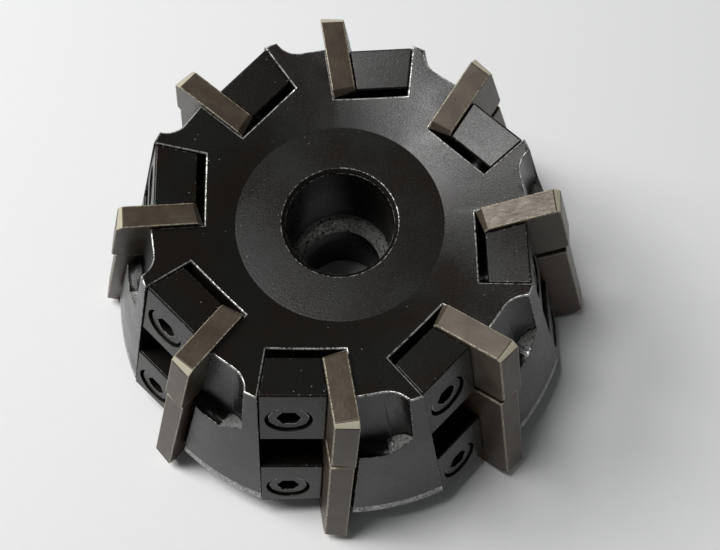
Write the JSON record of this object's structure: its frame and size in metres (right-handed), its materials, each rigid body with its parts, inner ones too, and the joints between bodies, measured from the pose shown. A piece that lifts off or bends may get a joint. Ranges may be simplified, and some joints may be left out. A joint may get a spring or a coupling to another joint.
{
  "type": "face mill",
  "caption": "Conical shell face mill whose slots each hold a front and a rear insert, clamped from behind by wedges with socket head cap screws.",
  "frame": {"origin": "on the bore axis, in the plane of the hub's back face, which bears on the arbor's flange", "axes": "+Z along the bore axis towards the cutting face; +Y through the corner of the first front insert"},
  "size_m": [0.1314, 0.1314, 0.0634],
  "materials": {
    "body_steel": "black oxide, fine turned grain, satin",
    "wedge_steel": "black oxide, ground flats, satin",
    "screw_steel": "black oxide, lightly oiled",
    "front_carbide": "ground carbide, warm grey, matt",
    "rear_carbide": "ground carbide, brown stained, matt"
  },
  "bodies": {
    "body": {"cutter_body": "body_steel"},
    "front_wedge_1": {"front_wedge_1": "wedge_steel"},
    "front_screw_1": {"front_screw_1": "screw_steel"},
    "front_insert_1": {"front_insert_1": "front_carbide"},
    "rear_wedge_1": {"rear_wedge_1": "wedge_steel"},
    "rear_screw_1": {"rear_screw_1": "screw_steel"},
    "rear_insert_1": {"rear_insert_1": "rear_carbide"},
    "front_wedge_2": {"front_wedge_2": "wedge_steel"},
    "front_screw_2": {"front_screw_2": "screw_steel"},
    "front_insert_2": {"front_insert_2": "front_carbide"},
    "rear_wedge_2": {"rear_wedge_2": "wedge_steel"},
    "rear_screw_2": {"rear_screw_2": "screw_steel"},
    "rear_insert_2": {"rear_insert_2": "rear_carbide"},
    "front_wedge_3": {"front_wedge_3": "wedge_steel"},
    "front_screw_3": {"front_screw_3": "screw_steel"},
    "front_insert_3": {"front_insert_3": "front_carbide"},
    "rear_wedge_3": {"rear_wedge_3": "wedge_steel"},
    "rear_screw_3": {"rear_screw_3": "screw_steel"},
    "rear_insert_3": {"rear_insert_3": "rear_carbide"},
    "front_wedge_4": {"front_wedge_4": "wedge_steel"},
    "front_screw_4": {"front_screw_4": "screw_steel"},
    "front_insert_4": {"front_insert_4": "front_carbide"},
    "rear_wedge_4": {"rear_wedge_4": "wedge_steel"},
    "rear_screw_4": {"rear_screw_4": "screw_steel"},
    "rear_insert_4": {"rear_insert_4": "rear_carbide"},
    "front_wedge_5": {"front_wedge_5": "wedge_steel"},
    "front_screw_5": {"front_screw_5": "screw_steel"},
    "front_insert_5": {"front_insert_5": "front_carbide"},
    "rear_wedge_5": {"rear_wedge_5": "wedge_steel"},
    "rear_screw_5": {"rear_screw_5": "screw_steel"},
    "rear_insert_5": {"rear_insert_5": "rear_carbide"},
    "front_wedge_6": {"front_wedge_6": "wedge_steel"},
    "front_screw_6": {"front_screw_6": "screw_steel"},
    "front_insert_6": {"front_insert_6": "front_carbide"},
    "rear_wedge_6": {"rear_wedge_6": "wedge_steel"},
    "rear_screw_6": {"rear_screw_6": "screw_steel"},
    "rear_insert_6": {"rear_insert_6": "rear_carbide"},
    "front_wedge_7": {"front_wedge_7": "wedge_steel"},
    "front_screw_7": {"front_screw_7": "screw_steel"},
    "front_insert_7": {"front_insert_7": "front_carbide"},
    "rear_wedge_7": {"rear_wedge_7": "wedge_steel"},
    "rear_screw_7": {"rear_screw_7": "screw_steel"},
    "rear_insert_7": {"rear_insert_7": "rear_carbide"},
    "front_wedge_8": {"front_wedge_8": "wedge_steel"},
    "front_screw_8": {"front_screw_8": "screw_steel"},
    "front_insert_8": {"front_insert_8": "front_carbide"},
    "rear_wedge_8": {"rear_wedge_8": "wedge_steel"},
    "rear_screw_8": {"rear_screw_8": "screw_steel"},
    "rear_insert_8": {"rear_insert_8": "rear_carbide"}
  },
  "joints": [
    {"name": "front_wedge_slide_1", "type": "slide", "parent": "body", "child": "front_wedge_1", "axis": [0.0656, 0.9623, 0.2639], "range_m": [0, 0.0015]},
    {"name": "front_screw_turn_1", "type": "hinge", "parent": "front_wedge_1", "child": "front_screw_1", "pos_m": [0.01583, 0.04461, 0.0502], "axis": [0.0656, 0.9623, 0.2639], "range_deg": [0, 540]},
    {"name": "front_insert_slide_1", "type": "slide", "parent": "body", "child": "front_insert_1", "axis": [-0.0885, -0.2578, 0.9621], "range_m": [0, 0.012]},
    {"name": "rear_wedge_slide_1", "type": "slide", "parent": "body", "child": "rear_wedge_1", "axis": [0.0656, 0.9623, 0.2639], "range_m": [0, 0.0015]},
    {"name": "rear_screw_turn_1", "type": "hinge", "parent": "rear_wedge_1", "child": "rear_screw_1", "pos_m": [0.01897, 0.05374, 0.01614], "axis": [0.0656, 0.9623, 0.2639], "range_deg": [0, 540]},
    {"name": "rear_insert_slide_1", "type": "slide", "parent": "body", "child": "rear_insert_1", "axis": [-0.069, 0.9652, 0.2523], "range_m": [0, 0.008]},
    {"name": "front_wedge_slide_2", "type": "slide", "parent": "body", "child": "front_wedge_2", "axis": [0.7268, 0.6341, 0.2639], "range_m": [0, 0.0015]},
    {"name": "front_screw_turn_2", "type": "hinge", "parent": "front_wedge_2", "child": "front_screw_2", "pos_m": [0.04274, 0.02035, 0.0502], "axis": [0.7268, 0.6341, 0.2639], "range_deg": [0, 540]},
    {"name": "front_insert_slide_2", "type": "slide", "parent": "body", "child": "front_insert_2", "axis": [-0.2449, -0.1197, 0.9621], "range_m": [0, 0.012]},
    {"name": "rear_wedge_slide_2", "type": "slide", "parent": "body", "child": "rear_wedge_2", "axis": [0.7268, 0.6341, 0.2639], "range_m": [0, 0.0015]},
    {"name": "rear_screw_turn_2", "type": "hinge", "parent": "rear_wedge_2", "child": "rear_screw_2", "pos_m": [0.05141, 0.02459, 0.01614], "axis": [0.7268, 0.6341, 0.2639], "range_deg": [0, 540]},
    {"name": "rear_insert_slide_2", "type": "slide", "parent": "body", "child": "rear_insert_2", "axis": [0.6337, 0.7313, 0.2523], "range_m": [0, 0.008]},
    {"name": "front_wedge_slide_3", "type": "slide", "parent": "body", "child": "front_wedge_3", "axis": [0.9623, -0.0656, 0.2639], "range_m": [0, 0.0015]},
    {"name": "front_screw_turn_3", "type": "hinge", "parent": "front_wedge_3", "child": "front_screw_3", "pos_m": [0.04461, -0.01583, 0.0502], "axis": [0.9623, -0.0656, 0.2639], "range_deg": [0, 540]},
    {"name": "front_insert_slide_3", "type": "slide", "parent": "body", "child": "front_insert_3", "axis": [-0.2578, 0.0885, 0.9621], "range_m": [0, 0.012]},
    {"name": "rear_wedge_slide_3", "type": "slide", "parent": "body", "child": "rear_wedge_3", "axis": [0.9623, -0.0656, 0.2639], "range_m": [0, 0.0015]},
    {"name": "rear_screw_turn_3", "type": "hinge", "parent": "rear_wedge_3", "child": "rear_screw_3", "pos_m": [0.05374, -0.01897, 0.01614], "axis": [0.9623, -0.0656, 0.2639], "range_deg": [0, 540]},
    {"name": "rear_insert_slide_3", "type": "slide", "parent": "body", "child": "rear_insert_3", "axis": [0.9652, 0.069, 0.2523], "range_m": [0, 0.008]},
    {"name": "front_wedge_slide_4", "type": "slide", "parent": "body", "child": "front_wedge_4", "axis": [0.6341, -0.7268, 0.2639], "range_m": [0, 0.0015]},
    {"name": "front_screw_turn_4", "type": "hinge", "parent": "front_wedge_4", "child": "front_screw_4", "pos_m": [0.02035, -0.04274, 0.0502], "axis": [0.6341, -0.7268, 0.2639], "range_deg": [0, 540]},
    {"name": "front_insert_slide_4", "type": "slide", "parent": "body", "child": "front_insert_4", "axis": [-0.1197, 0.2449, 0.9621], "range_m": [0, 0.012]},
    {"name": "rear_wedge_slide_4", "type": "slide", "parent": "body", "child": "rear_wedge_4", "axis": [0.6341, -0.7268, 0.2639], "range_m": [0, 0.0015]},
    {"name": "rear_screw_turn_4", "type": "hinge", "parent": "rear_wedge_4", "child": "rear_screw_4", "pos_m": [0.02459, -0.05141, 0.01614], "axis": [0.6341, -0.7268, 0.2639], "range_deg": [0, 540]},
    {"name": "rear_insert_slide_4", "type": "slide", "parent": "body", "child": "rear_insert_4", "axis": [0.7313, -0.6337, 0.2523], "range_m": [0, 0.008]},
    {"name": "front_wedge_slide_5", "type": "slide", "parent": "body", "child": "front_wedge_5", "axis": [-0.0656, -0.9623, 0.2639], "range_m": [0, 0.0015]},
    {"name": "front_screw_turn_5", "type": "hinge", "parent": "front_wedge_5", "child": "front_screw_5", "pos_m": [-0.01583, -0.04461, 0.0502], "axis": [-0.0656, -0.9623, 0.2639], "range_deg": [0, 540]},
    {"name": "front_insert_slide_5", "type": "slide", "parent": "body", "child": "front_insert_5", "axis": [0.0885, 0.2578, 0.9621], "range_m": [0, 0.012]},
    {"name": "rear_wedge_slide_5", "type": "slide", "parent": "body", "child": "rear_wedge_5", "axis": [-0.0656, -0.9623, 0.2639], "range_m": [0, 0.0015]},
    {"name": "rear_screw_turn_5", "type": "hinge", "parent": "rear_wedge_5", "child": "rear_screw_5", "pos_m": [-0.01897, -0.05374, 0.01614], "axis": [-0.0656, -0.9623, 0.2639], "range_deg": [0, 540]},
    {"name": "rear_insert_slide_5", "type": "slide", "parent": "body", "child": "rear_insert_5", "axis": [0.069, -0.9652, 0.2523], "range_m": [0, 0.008]},
    {"name": "front_wedge_slide_6", "type": "slide", "parent": "body", "child": "front_wedge_6", "axis": [-0.7268, -0.6341, 0.2639], "range_m": [0, 0.0015]},
    {"name": "front_screw_turn_6", "type": "hinge", "parent": "front_wedge_6", "child": "front_screw_6", "pos_m": [-0.04274, -0.02035, 0.0502], "axis": [-0.7268, -0.6341, 0.2639], "range_deg": [0, 540]},
    {"name": "front_insert_slide_6", "type": "slide", "parent": "body", "child": "front_insert_6", "axis": [0.2449, 0.1197, 0.9621], "range_m": [0, 0.012]},
    {"name": "rear_wedge_slide_6", "type": "slide", "parent": "body", "child": "rear_wedge_6", "axis": [-0.7268, -0.6341, 0.2639], "range_m": [0, 0.0015]},
    {"name": "rear_screw_turn_6", "type": "hinge", "parent": "rear_wedge_6", "child": "rear_screw_6", "pos_m": [-0.05141, -0.02459, 0.01614], "axis": [-0.7268, -0.6341, 0.2639], "range_deg": [0, 540]},
    {"name": "rear_insert_slide_6", "type": "slide", "parent": "body", "child": "rear_insert_6", "axis": [-0.6337, -0.7313, 0.2523], "range_m": [0, 0.008]},
    {"name": "front_wedge_slide_7", "type": "slide", "parent": "body", "child": "front_wedge_7", "axis": [-0.9623, 0.0656, 0.2639], "range_m": [0, 0.0015]},
    {"name": "front_screw_turn_7", "type": "hinge", "parent": "front_wedge_7", "child": "front_screw_7", "pos_m": [-0.04461, 0.01583, 0.0502], "axis": [-0.9623, 0.0656, 0.2639], "range_deg": [0, 540]},
    {"name": "front_insert_slide_7", "type": "slide", "parent": "body", "child": "front_insert_7", "axis": [0.2578, -0.0885, 0.9621], "range_m": [0, 0.012]},
    {"name": "rear_wedge_slide_7", "type": "slide", "parent": "body", "child": "rear_wedge_7", "axis": [-0.9623, 0.0656, 0.2639], "range_m": [0, 0.0015]},
    {"name": "rear_screw_turn_7", "type": "hinge", "parent": "rear_wedge_7", "child": "rear_screw_7", "pos_m": [-0.05374, 0.01897, 0.01614], "axis": [-0.9623, 0.0656, 0.2639], "range_deg": [0, 540]},
    {"name": "rear_insert_slide_7", "type": "slide", "parent": "body", "child": "rear_insert_7", "axis": [-0.9652, -0.069, 0.2523], "range_m": [0, 0.008]},
    {"name": "front_wedge_slide_8", "type": "slide", "parent": "body", "child": "front_wedge_8", "axis": [-0.6341, 0.7268, 0.2639], "range_m": [0, 0.0015]},
    {"name": "front_screw_turn_8", "type": "hinge", "parent": "front_wedge_8", "child": "front_screw_8", "pos_m": [-0.02035, 0.04274, 0.0502], "axis": [-0.6341, 0.7268, 0.2639], "range_deg": [0, 540]},
    {"name": "front_insert_slide_8", "type": "slide", "parent": "body", "child": "front_insert_8", "axis": [0.1197, -0.2449, 0.9621], "range_m": [0, 0.012]},
    {"name": "rear_wedge_slide_8", "type": "slide", "parent": "body", "child": "rear_wedge_8", "axis": [-0.6341, 0.7268, 0.2639], "range_m": [0, 0.0015]},
    {"name": "rear_screw_turn_8", "type": "hinge", "parent": "rear_wedge_8", "child": "rear_screw_8", "pos_m": [-0.02459, 0.05141, 0.01614], "axis": [-0.6341, 0.7268, 0.2639], "range_deg": [0, 540]},
    {"name": "rear_insert_slide_8", "type": "slide", "parent": "body", "child": "rear_insert_8", "axis": [-0.7313, 0.6337, 0.2523], "range_m": [0, 0.008]}
  ],
  "couplings": [
    {"joint": "front_screw_turn_1", "follows": "front_wedge_slide_1", "rad_per_m": 6283.2},
    {"joint": "rear_screw_turn_1", "follows": "rear_wedge_slide_1", "rad_per_m": 6283.2},
    {"joint": "front_screw_turn_2", "follows": "front_wedge_slide_2", "rad_per_m": 6283.2},
    {"joint": "rear_screw_turn_2", "follows": "rear_wedge_slide_2", "rad_per_m": 6283.2},
    {"joint": "front_screw_turn_3", "follows": "front_wedge_slide_3", "rad_per_m": 6283.2},
    {"joint": "rear_screw_turn_3", "follows": "rear_wedge_slide_3", "rad_per_m": 6283.2},
    {"joint": "front_screw_turn_4", "follows": "front_wedge_slide_4", "rad_per_m": 6283.2},
    {"joint": "rear_screw_turn_4", "follows": "rear_wedge_slide_4", "rad_per_m": 6283.2},
    {"joint": "front_screw_turn_5", "follows": "front_wedge_slide_5", "rad_per_m": 6283.2},
    {"joint": "rear_screw_turn_5", "follows": "rear_wedge_slide_5", "rad_per_m": 6283.2},
    {"joint": "front_screw_turn_6", "follows": "front_wedge_slide_6", "rad_per_m": 6283.2},
    {"joint": "rear_screw_turn_6", "follows": "rear_wedge_slide_6", "rad_per_m": 6283.2},
    {"joint": "front_screw_turn_7", "follows": "front_wedge_slide_7", "rad_per_m": 6283.2},
    {"joint": "rear_screw_turn_7", "follows": "rear_wedge_slide_7", "rad_per_m": 6283.2},
    {"joint": "front_screw_turn_8", "follows": "front_wedge_slide_8", "rad_per_m": 6283.2},
    {"joint": "rear_screw_turn_8", "follows": "rear_wedge_slide_8", "rad_per_m": 6283.2}
  ]
}
